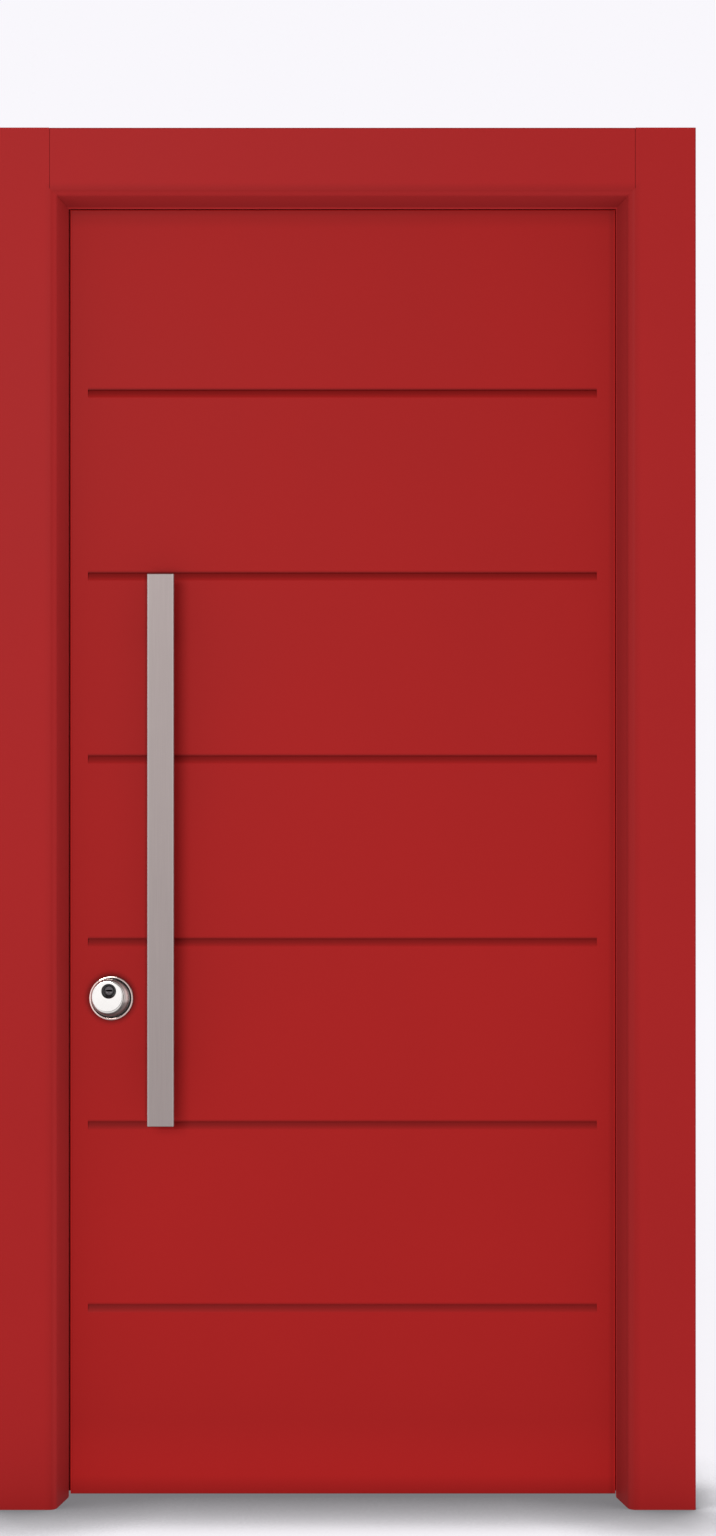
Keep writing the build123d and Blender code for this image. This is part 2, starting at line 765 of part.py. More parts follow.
def lever_handle():
    start = panel_back + 2
    reach = lever_back - lever_radius
    path = FilletPolyline(
        (lock_x, start, spindle_z), (lock_x, reach, spindle_z), (lock_x + lever_reach, reach, spindle_z),
        radius=lever_bend,
    )
    circle = Plane(origin=(lock_x, start, spindle_z), z_dir=(0, 1, 0)) * Circle(lever_radius)
    bar = sweep(circle, path=path)
    bar = fillet(bar.edges().group_by(Axis.X)[-1], 3)
    collar_radius = lever_radius + 1 - running_gap
    collar = bar_along_y(collar_radius, lock_x, start, panel_back + rose_height + 3, spindle_z)
    return bar + collar - spindle_bar(0.1, start - 1, start + 16)


def lever_spindle():
    return spindle_bar(0, bolt_depth - 9, panel_back + 15)


def pull_bar():
    half = bar_width / 2
    bar = block(bar_x - half, bar_x + half, bar_front, bar_front + bar_thickness, bar_low, bar_high)
    return fillet(bar.edges(), 1.2)


def pull_post(z):
    post = bar_along_y(post_radius, bar_x, bar_front + bar_thickness, reveal_depth, z)
    return post - bar_along_y(fixing_radius + 0.1, bar_x, reveal_depth - 20, reveal_depth + 1, z)


def pull_fixing(z):
    skin_back = tray_front + skin
    bolt = bar_along_y(fixing_radius, bar_x, reveal_depth - 19, skin_back + 12, z)
    bolt += bar_along_y(15, bar_x, skin_back, skin_back + 2, z)
    nut = RegularPolygon(8.5, 6, major_radius=False)
    return bolt + extrude(Plane(origin=(bar_x, skin_back + 2, z), z_dir=(0, 1, 0)) * nut, amount=8)


# Drop seal

def seal_end():
    return hinge_edge - 30


def seal_plunger_z():
    return 24.0


def seal_housing():
    low = leaf_bottom + skin
    housing = block(lock_edge + 9, hinge_edge - 9, bolt_depth - seal_half, bolt_depth + seal_half,
                    low, seal_top)
    inner = seal_half - seal_wall
    return housing - block(lock_edge + 8, hinge_edge - 8, bolt_depth - inner, bolt_depth + inner,
                           low - 1, seal_top - seal_wall)


def seal_blade():
    blade = block(lock_edge + 11, seal_end(), bolt_depth - 4.5, bolt_depth + 4.5,
                  leaf_bottom + 4, seal_top - 6)
    return blade - block(lock_edge + 10, seal_end() + 1, bolt_depth - 3, bolt_depth + 3,
                         leaf_bottom + 7, seal_top - 9)


def seal_lip():
    top = leaf_bottom + 4
    lip = make_face([
        Polyline((bolt_depth - 3, top), (bolt_depth + 3, top)),
        ThreePointArc((bolt_depth + 3, top), (bolt_depth, top - 2.6), (bolt_depth - 3, top)),
    ])
    return extrude(Plane.YZ.offset(lock_edge + 11) * lip, amount=seal_end() - lock_edge - 11)


def seal_plunger():
    plunger = bar_along_x(4, seal_end() + 9, clear_half + rebate_reach - 0.4, bolt_depth, seal_plunger_z())
    return fillet(plunger.edges().filter_by(GeomType.CIRCLE).group_by(Axis.X)[-1], 1.5)


# Frame pieces
save("jamb_lock_side", jamb_lock_side())
save("jamb_hinge_side", jamb_hinge_side())
save("frame_head", frame_head())
save("corner_plates", corner_plate(), mirror(corner_plate(), about=Plane.YZ))
gasket = upright(gasket_section())
save("gasket_hinge_side", gasket)
save("gasket_lock_side", mirror(gasket, about=Plane.YZ))
save("gasket_head", header(gasket_section()))
for name, strike in strikes().items():
    save(f"{name}_strike_plate", strike_plate(strike))
save("strike_screws", *strike_screws())
save("head_keeper_plate", keeper_plate())
for number, z in enumerate(hinge_heights, 1):
    save(f"hinge_frame_half_{number}", hinge_frame_half(z))
    save(f"hinge_leaf_half_{number}", hinge_leaf_half(z))
save("hinge_pins", *[hinge_pin(z) for z in hinge_heights])
save("hinge_washers", *[hinge_washer(z) for z in hinge_heights])
save("hinge_frame_screws", *[facing((0, 1, 0), *place) * screw_shape()
                             for z in hinge_heights for place in frame_wing_screws(z)])
save("hinge_leaf_screws", *[facing((0, 1, 0), *place) * screw_shape()
                            for z in hinge_heights for place in leaf_wing_screws(z)])

# Leaf pieces
save("leaf_tray", leaf_tray())
save("leaf_cover", leaf_cover())
save("stiffeners", *[stiffener(x) for x in stiffener_x])
save("outer_panel", outer_panel())
save("inner_panel", inner_panel())
save("dog_bolts", *[dog_bolt(z) for z in dog_heights])
save("seal_housing", seal_housing())
save("seal_blade", seal_blade())
save("seal_lip", seal_lip())
save("seal_plunger", seal_plunger())

# Locks
save("lock_case", lock_case())
save("lock_faceplate", lock_faceplate())
save("faceplate_screws", *faceplate_screws())
save("latch_bolt", latch_bolt())
save("latch_follower", latch_follower())
save("main_bolts", *main_bolts())
save("bolt_carriage", bolt_carriage())
for name, z in side_lock_heights.items():
    save(f"{name}_side_lock_case", side_lock_case(z))
    save(f"{name}_side_bolts", side_bolts(z))
save("upper_rod", rod(cylinder_z + 40, tray_top - top_bolt_length))
save("top_bolt", top_bolt())
save("lower_rod", rod(side_lock_heights["lower"] - 20, cylinder_z - 40))
save("cylinder_body", cylinder_body())
save("key_plug", key_plug())
save("cylinder_cam", cylinder_cam())
save("cylinder_guard", cylinder_guard())
save("thumbturn", thumbturn())
save("thumbturn_rose", rose(cylinder_z))

# Handles
save("lever_rose", rose(spindle_z))
save("lever_handle", lever_handle())
save("lever_spindle", lever_spindle())
save("pull_bar", pull_bar())
save("pull_posts", *[pull_post(z) for z in post_heights()])
save("pull_fixings", *[pull_fixing(z) for z in post_heights()])
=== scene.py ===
import json
import math

import bmesh
import bpy
from mathutils import Matrix, Vector


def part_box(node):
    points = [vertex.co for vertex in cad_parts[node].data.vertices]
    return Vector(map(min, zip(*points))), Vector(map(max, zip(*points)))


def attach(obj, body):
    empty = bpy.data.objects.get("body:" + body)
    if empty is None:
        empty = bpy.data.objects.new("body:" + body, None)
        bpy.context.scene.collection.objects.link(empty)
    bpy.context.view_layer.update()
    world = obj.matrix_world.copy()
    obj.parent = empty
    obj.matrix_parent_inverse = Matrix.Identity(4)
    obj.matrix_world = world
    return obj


# Panelled front door: finishes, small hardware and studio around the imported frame, in metres
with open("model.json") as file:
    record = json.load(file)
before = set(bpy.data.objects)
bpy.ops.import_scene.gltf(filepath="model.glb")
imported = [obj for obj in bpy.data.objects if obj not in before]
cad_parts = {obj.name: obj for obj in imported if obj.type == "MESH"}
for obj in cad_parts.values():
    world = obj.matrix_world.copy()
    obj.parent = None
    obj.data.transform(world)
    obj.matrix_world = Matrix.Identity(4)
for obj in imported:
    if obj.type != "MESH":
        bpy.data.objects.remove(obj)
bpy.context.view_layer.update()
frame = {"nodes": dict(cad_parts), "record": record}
nodes = frame["nodes"]
print("frame loaded:", len(nodes), "nodes")


def middle(name):
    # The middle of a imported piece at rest
    low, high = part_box(name)
    return (Vector(low) + Vector(high)) / 2


# Shader maths: a wrapped socket takes + - * and the finish adds the nodes

class Wire:
    def __init__(self, finish, socket):
        self.finish = finish
        self.socket = socket

    def maths(self, operation, first, second):
        return self.finish.node("ShaderNodeMath", {"operation": operation}, {0: first, 1: second})

    def __add__(self, other):
        return self.maths("ADD", self, other)

    def __sub__(self, other):
        return self.maths("SUBTRACT", self, other)

    def __rsub__(self, other):
        return self.maths("SUBTRACT", other, self)

    def __mul__(self, other):
        return self.maths("MULTIPLY", self, other)

    def __rmul__(self, other):
        return self.maths("MULTIPLY", other, self)


class Finish:
    def __init__(self, name):
        self.material = bpy.data.materials.new(name)
        self.material.use_nodes = True
        self.tree = self.material.node_tree
        self.tree.nodes.clear()

    def node(self, kind, settings=None, sockets=None, output=0):
        made = self.tree.nodes.new(kind)
        for key, value in (settings or {}).items():
            if key == "stops":
                ramp = made.color_ramp
                while len(ramp.elements) < len(value):
                    ramp.elements.new(0.5)
                for element, (place, tone) in zip(ramp.elements, value):
                    element.position = place
                    element.color = (*tone, 1)
            else:
                setattr(made, key, value)
        for key, value in (sockets or {}).items():
            if isinstance(value, Wire):
                self.tree.links.new(value.socket, made.inputs[key])
            else:
                made.inputs[key].default_value = value
        return Wire(self, made.outputs[output]) if made.outputs else None

    def place(self, scale=(1, 1, 1)):
        spot = self.node("ShaderNodeTexCoord", output=3)
        return self.node("ShaderNodeMapping", None, {"Vector": spot, "Scale": scale})

    def noise(self, scale, detail=2.0, roughness=0.5, spot=None):
        sockets = {"Vector": spot or self.place(), "Scale": scale, "Detail": detail, "Roughness": roughness}
        return self.node("ShaderNodeTexNoise", None, sockets)

    def span(self, value, low, high):
        # The value's 0 to 1 becomes low to high, and stays between them
        return self.node("ShaderNodeMapRange", {"clamp": True},
                         {"Value": value, "To Min": low, "To Max": high})

    def contrast(self, value, low, high):
        # 0 below low, 1 above high
        return self.node("ShaderNodeMapRange", {"clamp": True},
                         {"Value": value, "From Min": low, "From Max": high})

    def blend(self, share, first, second):
        sockets = {0: share}
        for key, tone in ((6, first), (7, second)):
            sockets[key] = tone if isinstance(tone, Wire) else (*tone, 1)
        return self.node("ShaderNodeMix", {"data_type": "RGBA"}, sockets, output=2)

    def axes(self):
        spot = self.node("ShaderNodeTexCoord", output=3)
        return [self.node("ShaderNodeSeparateXYZ", None, {0: spot}, output=n) for n in range(3)]

    def curve(self, value, low, high, points):
        # Straight pieces through points (share of the way from low to high, height), with heights from 0 to 2
        stops = [(share, (height / 2,) * 3) for share, height in points]
        way = self.contrast(value, low, high)
        return 2 * self.node("ShaderNodeValToRGB", {"stops": stops}, {0: way})

    def greater(self, first, second):
        return self.node("ShaderNodeMath", {"operation": "MAXIMUM"}, {0: first, 1: second})

    def size(self, value):
        return self.node("ShaderNodeMath", {"operation": "ABSOLUTE"}, {0: value})

    def length(self, across, along):
        return self.node("ShaderNodeMath", {"operation": "SQRT"}, {0: across * across + along * along})

    def faded(self, shade, share):
        # The shade where share is 1, none where it is 0
        return 1 - share * (1 - shade)

    def shaded(self, color, factor):
        # The colour times a factor, which may be above 1
        return self.node("ShaderNodeVectorMath", {"operation": "SCALE"}, {0: color, 3: factor})

    def bump(self, height, strength, distance):
        return self.node("ShaderNodeBump", None,
                         {"Height": height, "Strength": strength, "Distance": distance})

    def surface(self, **sockets):
        names = {"color": "Base Color", "roughness": "Roughness", "metallic": "Metallic", "normal": "Normal",
                 "specular": "Specular IOR Level"}
        values = {}
        for key, value in sockets.items():
            if key == "color" and not isinstance(value, Wire):
                value = (*value, 1)
            values[names[key]] = value
        shader = self.node("ShaderNodeBsdfPrincipled", None, values)
        self.node("ShaderNodeOutputMaterial", None, {"Surface": shader})
        return self.material


# Finishes

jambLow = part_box("jamb_hinge_side")[0]
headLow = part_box("frame_head")[0]
panelLow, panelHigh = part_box("outer_panel")
guardAxis = middle("cylinder_guard")
plugAxis = middle("key_plug")
barAxis = middle("pull_bar")

coat = {
    "frameRed": (0.277, 0.0105, 0.0105),
    "leafRed": (0.282, 0.0090, 0.0084),
    "trayRed": (0.25, 0.0085, 0.0080),
    "shade": 0.96,             # the darker patches' share of the colour
    "patch": 3.0,              # patches per metre
    "peel": 900.0,             # the sprayed coat's texture, bumps per metre
    "speckle": 3.1,            # its finer grain, times as many
    "peelDepth": 0.00006,
    "roughness": (0.46, 0.54),
    "specular": 0.06,
}

reveal = {
    # The way in goes from 0 at the flat face, by 1 at the nose's inner edge, to 2 at the stop
    "nose": 0.034,             # width of the rounded nose
    # Painted light: the splay is given a paler red than the face
    "red": (0.277, 0.0190, 0.0190),
    "redWay": (0.30, 0.80),    # where on that way the splay's paler red, painted light, takes over
    "stop": (-0.0222, -0.0232),
    "mitre": 0.0004,           # half the soft width between the head's shade and the jambs'
    "centre": 0.01,            # and between the two jambs', out of sight at the head's middle
    # Painted shade and painted light as shares of the whole way
    "lockSide": [(0.0, 1.0), (0.2, 0.9), (0.4, 1.5), (0.95, 1.3), (1.0, 2.0)],
    "hingeSide": [(0.0, 1.0), (0.2, 0.85), (0.5, 1.05), (0.95, 0.9), (1.0, 1.9)],
    "head": [(0.0, 1.0), (0.2, 0.8), (0.4, 1.15), (0.9, 1.0), (1.0, 2.0)],
}


def revealShade(finish, color):
    # Painted shade and painted light on the frame's nose and splay up to the stop, and a paler red painted on
    # the splay; behind the stop the coat is plain
    x, y, z = finish.axes()
    aside = finish.size(x) - jambLow[0]
    above = z - headLow[2]
    turned = finish.contrast(finish.greater(aside, above), reveal["nose"], 0.0)
    way = turned + finish.contrast(y, jambLow[1], panelLow[1])
    lock = finish.curve(way, 0.0, 2.0, reveal["lockSide"])
    hinge = finish.curve(way, 0.0, 2.0, reveal["hingeSide"])
    head = finish.curve(way, 0.0, 2.0, reveal["head"])
    onHinge = finish.contrast(x, -reveal["centre"], reveal["centre"])
    jambs = finish.faded(lock, 1 - onHinge) * finish.faded(hinge, onHinge)
    onHead = finish.contrast(above - aside, -reveal["mitre"], reveal["mitre"])
    splay = finish.blend(finish.contrast(way, *reveal["redWay"]), color, reveal["red"])
    splay = finish.shaded(splay, finish.faded(jambs, 1 - onHead) * finish.faded(head, onHead))
    return finish.blend(finish.contrast(y, *reveal["stop"]), color, splay)


board = {
    # Painted shade in the grooves by depth, and on the face just above each groove's sharp top edge
    "grooveDepth": 0.005,
    "groove": [(0.0, 0.97), (0.5, 0.65), (0.9, 0.55), (1.0, 0.4)],
    "lipHeight": 0.004,
    "grooveLip": [(0.0, 0.6), (1.0, 1.0)],
    "firstLip": 0.317,         # height of the lowest groove's top edge, and the spacing of the grooves
    "lipSpacing": 0.3006,
    "grooveHalf": (0.4185, 0.4175),
    "belowGrooves": (0.20, 0.21),
    # Painted shade and painted light along the panel's edges: how far in it reaches, and its course from the
    # edge
    "sideReach": 0.020,
    "leftEdge": [(0.0, 1.9), (0.1, 0.85), (0.25, 1.0)],
    "rightEdge": [(0.0, 2.0), (0.1, 0.9), (0.3, 0.85), (0.6, 1.0)],
    "topReach": 0.030,
    "topEdge": [(0.0, 1.6), (0.05, 0.7), (0.3, 0.85), (1.0, 1.0)],
    "footReach": 0.120,
    "footEdge": [(0.0, 0.95), (0.25, 1.2), (1.0, 1.0)],
    # Painted light: the whole panel is painted a little lighter towards its foot
    "tall": 2.14,
    "height": [(0.0, 1.05), (0.5, 1.03), (1.0, 0.98)],
    # Painted shade round the guard by the distance from its axis, and a painted shadow beside the pull bar
    "haloReach": (0.0365, 0.046),
    "guardHalo": [(0.0, 0.45), (0.6, 0.85), (1.0, 1.0)],
    "barShadowReach": (0.0312, 0.0252),
    "barShadowLine": [(0.0, 1.0), (0.5, 0.66), (1.0, 1.0)],
    "barHalf": (0.450, 0.445),
}


def boardShade(finish, color):
    # Painted shade on the outer panel in its grooves, along its edges, round the guard and beside the pull
    # bar, with painted light at its very edges and towards its foot
    x, y, z = finish.axes()
    face = panelLow[1]
    groove = finish.curve(y, face, face + board["grooveDepth"], board["groove"])
    overLip = finish.node("ShaderNodeMath", {"operation": "FLOORED_MODULO"},
                          {0: z - board["firstLip"], 1: board["lipSpacing"]})
    beside = finish.contrast(finish.size(x), *board["grooveHalf"])
    above = finish.contrast(z, *board["belowGrooves"])
    lip = finish.faded(finish.curve(overLip, 0.0, board["lipHeight"], board["grooveLip"]), beside * above)
    left = finish.curve(x, panelLow[0], panelLow[0] + board["sideReach"], board["leftEdge"])
    right = finish.curve(x, panelHigh[0], panelHigh[0] - board["sideReach"], board["rightEdge"])
    top = finish.curve(z, panelHigh[2], panelHigh[2] - board["topReach"], board["topEdge"])
    foot = finish.curve(z, panelLow[2], panelLow[2] + board["footReach"], board["footEdge"])
    height = finish.curve(z, 0.0, board["tall"], board["height"])
    fromGuard = finish.length(x - guardAxis.x, z - guardAxis.z)
    halo = finish.curve(fromGuard, *board["haloReach"], board["guardHalo"])
    # Painted shadow: a thin dark line on the panel beside the pull bar's left edge
    far, near = board["barShadowReach"]
    alongBar = finish.contrast(finish.size(z - barAxis.z), *board["barHalf"])
    barShadow = finish.faded(finish.curve(x, barAxis.x - far, barAxis.x - near, board["barShadowLine"]), alongBar)
    return finish.shaded(color, groove * lip * left * right * top * foot * height * halo * barShadow)


def sprayedCoat(name, tone, peel=1.0, shade=None):
    # Satin paint: barely mottled, with the fine orange peel of a sprayed coat
    finish = Finish(name)
    patches = finish.noise(coat["patch"], 3.0, 0.55)
    dark = tuple(channel * coat["shade"] for channel in tone)
    color = finish.blend(finish.contrast(patches, 0.3, 0.7), dark, tone)
    if shade:
        color = shade(finish, color)
    texture = finish.noise(coat["peel"] * peel, 1.0, 0.4)
    speckle = finish.noise(coat["peel"] * coat["speckle"], 1.0, 0.5)
    normal = finish.bump(texture + 0.35 * speckle, 0.35, coat["peelDepth"])
    low, high = coat["roughness"]
    return finish.surface(color=color, roughness=finish.span(patches, low, high),
                          specular=coat["specular"], normal=normal)


brush = {
    "grain": 2600.0,           # brush lines per metre across the stroke
    "stroke": 14.0,            # and along it
    "cloud": 7.0,              # duller and brighter patches per metre
    "lineDepth": 0.00002,
    # Painted highlight along the pull bar's rounded edges
    "barRound": (0.0165, 0.0215),
    "barEdgeHighlight": [(0.3, 1.0), (1.0, 1.4)],
}


def barHighlight(finish, color):
    # Painted highlight: the pull bar is painted a little lighter along its rounded edges
    aside = finish.size(finish.axes()[0] - barAxis.x)
    return finish.shaded(color, finish.curve(aside, *brush["barRound"], brush["barEdgeHighlight"]))


def brushedMetal(name, tone, roughness, along="Z", contrast=0.12, metallic=1.0, shade=None):
    # Metal brushed or ground in one direction
    finish = Finish(name)
    scale = tuple(brush["stroke"] if axis == along else brush["grain"] for axis in "XYZ")
    lines = finish.noise(1.0, 2.0, 0.6, finish.place(scale))
    cloud = finish.noise(brush["cloud"], 3.0, 0.5)
    dark = tuple(channel * (1 - contrast) for channel in tone)
    color = finish.blend(finish.contrast(lines, 0.3, 0.7), dark, tone)
    if shade:
        color = shade(finish, color)
    sheen = finish.span(0.6 * lines + 0.4 * cloud, roughness - 0.05, roughness + 0.07)
    return finish.surface(color=color, metallic=metallic, roughness=sheen,
                          normal=finish.bump(lines, 0.25, brush["lineDepth"]))


chrome = {
    # The cap sits off the guard's axis. Its shoulder's painted reflection, in dark bands, goes by the
    # distance from the cap's own axis
    "capShift": (-0.0048, 0.0048),
    "capReach": (0.022, 0.032),
    "capReflectionBand": [(0.15, 1.0), (0.25, 0.4), (0.35, 0.95), (0.5, 0.8), (0.65, 0.15), (0.8, 0.1), (1.0, 0.3)],
    "lowerRight": (0.7, -0.8),
    "lowerRightReach": (0.004, 0.020),
    # The cap's flank has a painted reflection of a light room to its sides and a dark one above and below, in
    # streaks by depth
    "flankReflectionTone": (0.92, 0.88, 0.83),
    "flankHalf": 0.03,
    "flankHeight": [(0.0, 0.1), (0.3, 0.3), (0.4, 0.9), (0.6, 1.0), (0.9, 0.2), (1.0, 0.1)],
    "flankReach": (-0.053, -0.036),
    "flankDepth": [(0.0, 1.0), (0.15, 0.5), (0.3, 1.0), (0.5, 1.0), (0.6, 0.35), (0.75, 0.75), (1.0, 0.1)],
    "flankFront": (-0.0525, -0.0508),
    "flankMetal": 0.85,        # share of the metal that the flank leaves out, so its painted reflection shows
    # The rim's painted reflection: a warm tone, lighter on its left
    "rimReflectionTone": (0.84, 0.66, 0.60),
    "rimReach": (0.0328, 0.0336),
    "rimHalf": 0.037,
    "rimSide": [(0.0, 1.1), (0.5, 0.6), (0.7, 0.6), (1.0, 0.8)],
    # Painted shade in the guard's mouth round the plug
    "mouthReach": (0.009, 0.0125),
    "mouth": [(0.75, 0.03), (1.0, 1.0)],
    # Painted shade of the cylinder from its front, through the depth of its keyway, to its inner end
    "plugReach": (-0.047, 0.03),
    "plug": [(0.015, 0.19), (0.03, 0.02), (0.9, 0.02), (1.0, 1.0)],
    # Deeper painted shade on the cylinder's body round the plug
    "bodyReach": 0.010,
    "body": [(0.7, 1.0), (0.76, 0.12)],
    "bodyInner": (0.0, -0.02),
}


def guardLook(finish, color):
    # The cap's shoulder has a painted reflection of the dark below and to its right, its mouth painted shade,
    # its rim a warm painted reflection
    x, y, z = finish.axes()
    sideways, upward = chrome["capShift"]
    right = x - (guardAxis.x + sideways)
    up = z - (guardAxis.z + upward)
    band = finish.curve(finish.length(right, up), *chrome["capReach"], chrome["capReflectionBand"])
    sidewaysShare, upwardShare = chrome["lowerRight"]
    lower = finish.contrast(sidewaysShare * right + upwardShare * up, *chrome["lowerRightReach"])
    fromPlug = finish.length(x - plugAxis.x, z - plugAxis.z)
    mouth = finish.curve(fromPlug, *chrome["mouthReach"], chrome["mouth"])
    across = x - guardAxis.x
    onRim = finish.contrast(finish.length(across, z - guardAxis.z), *chrome["rimReach"])
    onFlank = (1 - onRim) * finish.contrast(y, *chrome["flankFront"])
    height = finish.curve(up, -chrome["flankHalf"], chrome["flankHalf"], chrome["flankHeight"])
    depth = finish.curve(y, *chrome["flankReach"], chrome["flankDepth"])
    rim = finish.curve(across, -chrome["rimHalf"], chrome["rimHalf"], chrome["rimSide"])
    color = finish.shaded(color, finish.faded(band, lower))
    color = finish.blend(onFlank, color, finish.shaded(chrome["flankReflectionTone"], height * depth))
    color = finish.blend(onRim, color, finish.shaded(chrome["rimReflectionTone"], rim))
    return finish.shaded(color, mouth), 1 - onFlank * chrome["flankMetal"]


def plugLook(finish, color):
    # Painted shade: the plug's front is painted as in the shade of the guard's mouth, and the body round it
    # deeper
    x, y, z = finish.axes()
    fromPlug = finish.length(x - plugAxis.x, z - plugAxis.z)
    body = finish.curve(fromPlug, 0.0, chrome["bodyReach"], chrome["body"])
    outer = finish.faded(body, finish.contrast(y, *chrome["bodyInner"]))
    return finish.shaded(color, finish.curve(y, *chrome["plugReach"], chrome["plug"]) * outer), 1.0


polish = {
    "haze": 60.0,              # the haze's patches per metre, its share of the colour and its added roughness
    "hazeShade": 0.95,
    "hazeRoughness": 0.06,
    "ripple": 240.0,           # ripples left by the polishing wheel, per metre
    "rippleDepth": 0.00002,
}


def polishedMetal(name, tone, roughness, look=None):
    # Plated and polished, with the faint haze that handling leaves
    finish = Finish(name)
    haze = finish.noise(polish["haze"], 4.0, 0.6)
    dark = tuple(channel * polish["hazeShade"] for channel in tone)
    color = finish.blend(finish.contrast(haze, 0.35, 0.75), tone, dark)
    color, metallic = look(finish, color) if look else (color, 1.0)
    sheen = finish.span(finish.contrast(haze, 0.4, 0.8), roughness, roughness + polish["hazeRoughness"])
    ripple = finish.noise(polish["ripple"], 1.0, 0.4)
    return finish.surface(color=color, metallic=metallic, roughness=sheen,
                          normal=finish.bump(ripple, 0.12, polish["rippleDepth"]))


zinc = {
    "cloud": 26.0,             # passivation clouds per metre, and their two tints
    "yellow": (1.04, 0.99, 0.80),
    "blue": (0.88, 0.94, 1.03),
    "roughness": (0.28, 0.45),
    "spangle": 420.0,          # crystals per metre
    "spangleDepth": 0.00004,
}


def zincPlate(name, tone):
    # Bright zinc with its cloudy, slightly yellow and blue passivation
    finish = Finish(name)
    cloud = finish.noise(zinc["cloud"], 5.0, 0.6)
    yellow, blue = [tuple(channel * share for channel, share in zip(tone, zinc[tint]))
                    for tint in ("yellow", "blue")]
    color = finish.blend(finish.contrast(cloud, 0.35, 0.65), blue, yellow)
    spangle = finish.noise(zinc["spangle"], 2.0, 0.5)
    return finish.surface(color=color, metallic=1.0, roughness=finish.span(cloud, *zinc["roughness"]),
                          normal=finish.bump(spangle, 0.2, zinc["spangleDepth"]))


rubber = {
    "bloom": 35.0,             # paler patches per metre
    "roughness": (0.55, 0.72),
    "specular": 0.3,
    "grain": 1500.0,           # grains per metre
    "grainDepth": 0.00005,
}


def softRubber(name, tone):
    # Matt black rubber with a pale bloom
    finish = Finish(name)
    bloom = finish.noise(rubber["bloom"], 4.0, 0.6)
    pale = tuple(channel * 1.8 + 0.006 for channel in tone)
    color = finish.blend(finish.contrast(bloom, 0.45, 0.8), tone, pale)
    grain = finish.noise(rubber["grain"], 2.0, 0.5)
    return finish.surface(color=color, roughness=finish.span(bloom, *rubber["roughness"]),
                          specular=rubber["specular"], normal=finish.bump(grain, 0.3, rubber["grainDepth"]))


finishes = {
    "frame_paint": sprayedCoat("framePaint", coat["frameRed"], 1.0, revealShade),
    "tray_paint": sprayedCoat("trayPaint", coat["trayRed"]),
    "outer_lacquer": sprayedCoat("outerLacquer", coat["leafRed"], 0.8, boardShade),
    "inner_lacquer": sprayedCoat("innerLacquer", coat["leafRed"], 0.8),
    "bar_satin": brushedMetal("barSatin", (0.249, 0.212, 0.203), 0.52, metallic=0.7, shade=barHighlight),
    "guard_polish": polishedMetal("guardPolish", (0.89, 0.875, 0.82), 0.07, guardLook),
    "cylinder_nickel": polishedMetal("cylinderNickel", (0.46, 0.42, 0.43), 0.26, plugLook),
    "bolt_steel": polishedMetal("boltSteel", (0.62, 0.62, 0.62), 0.14),
    "lock_zinc": zincPlate("lockZinc", (0.60, 0.60, 0.58)),
    "strike_steel": brushedMetal("strikeSteel", (0.58, 0.57, 0.55), 0.34),
    "hinge_satin": brushedMetal("hingeSatin", (0.50, 0.48, 0.46), 0.36),
    "washer_brass": polishedMetal("washerBrass", (0.72, 0.50, 0.22), 0.20),
    "lever_satin": brushedMetal("leverSatin", (0.52, 0.49, 0.47), 0.34, along="X"),
    "gasket_rubber": softRubber("gasketRubber", (0.018, 0.018, 0.019)),
    "seal_aluminium": brushedMetal("sealAluminium", (0.66, 0.66, 0.66), 0.38, along="X"),
    "screw_steel": zincPlate("screwSteel", (0.56, 0.56, 0.55)),
}
for part in frame["record"]["subparts"]:
    shown = nodes[part["node"]]
    for holder in shown.material_slots:
        holder.material = finishes[part["material_slot"]]
print("finishes:", len(finishes))


# Small pieces

def piece(name, body, mesh, finish):
    data = bpy.data.meshes.new(name)
    mesh.to_mesh(data)
    mesh.free()
    for face in data.polygons:
        face.use_smooth = True
    made = bpy.data.objects.new(name, data)
    bpy.context.scene.collection.objects.link(made)
    made.data.materials.append(finish)
    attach(made, body)
    return made


def bevelledBar(mesh, centre, size, turn=0.0, bevel=0.0001):
    # A bar with rounded edges, turned about Y
    made = bmesh.ops.create_cube(mesh, size=1.0)
    verts = made["verts"]
    place = Matrix.Translation(centre) @ Matrix.Rotation(turn, 4, "Y") @ Matrix.Diagonal((*size, 1))
    bmesh.ops.transform(mesh, matrix=place, verts=verts)
    edges = list({edge for vert in verts for edge in vert.link_edges})
    bmesh.ops.bevel(mesh, geom=edges, affect="EDGES", offset=bevel, segments=2, profile=0.5, material=-1)


guardRing = {
    "centre": (guardAxis.x, -0.0355, guardAxis.z),
    "radius": 0.0323,
    "thickness": 0.00105,      # radius of the ring's own round section
}


def rubberRing():
    # The rubber ring in the guard's groove, black, so it also stands in for the shade down in the groove
    mesh = bmesh.new()
    x, y, z = guardRing["centre"]
    start = Matrix.Translation((x + guardRing["radius"], y, z))
    made = bmesh.ops.create_circle(mesh, segments=12, radius=guardRing["thickness"], matrix=start)
    bmesh.ops.spin(mesh, geom=made["verts"] + list(mesh.edges), cent=(x, y, z), axis=(0, 1, 0),
                   angle=math.tau, steps=96, use_merge=True)
    bmesh.ops.remove_doubles(mesh, verts=mesh.verts, dist=0.00001)
    bmesh.ops.recalc_face_normals(mesh, faces=mesh.faces)
    return mesh


seam = {
    "x": 0.4746,
    "width": 0.0006,
    "depth": (-0.0922, -0.080),
    "height": (2.143, 2.2394),
    "shade": 0.55,             # painted shade: the sealed seam's share of the frame's colour
}


def seamFiller():
    # The sealed butt seams between the head and the jambs, just below the face
    mesh = bmesh.new()
    front, back = seam["depth"]
    low, high = seam["height"]
    for side in (-1, 1):
        centre = (side * seam["x"], (front + back) / 2, (low + high) / 2)
        bevelledBar(mesh, centre, (seam["width"], back - front, high - low))
    return mesh


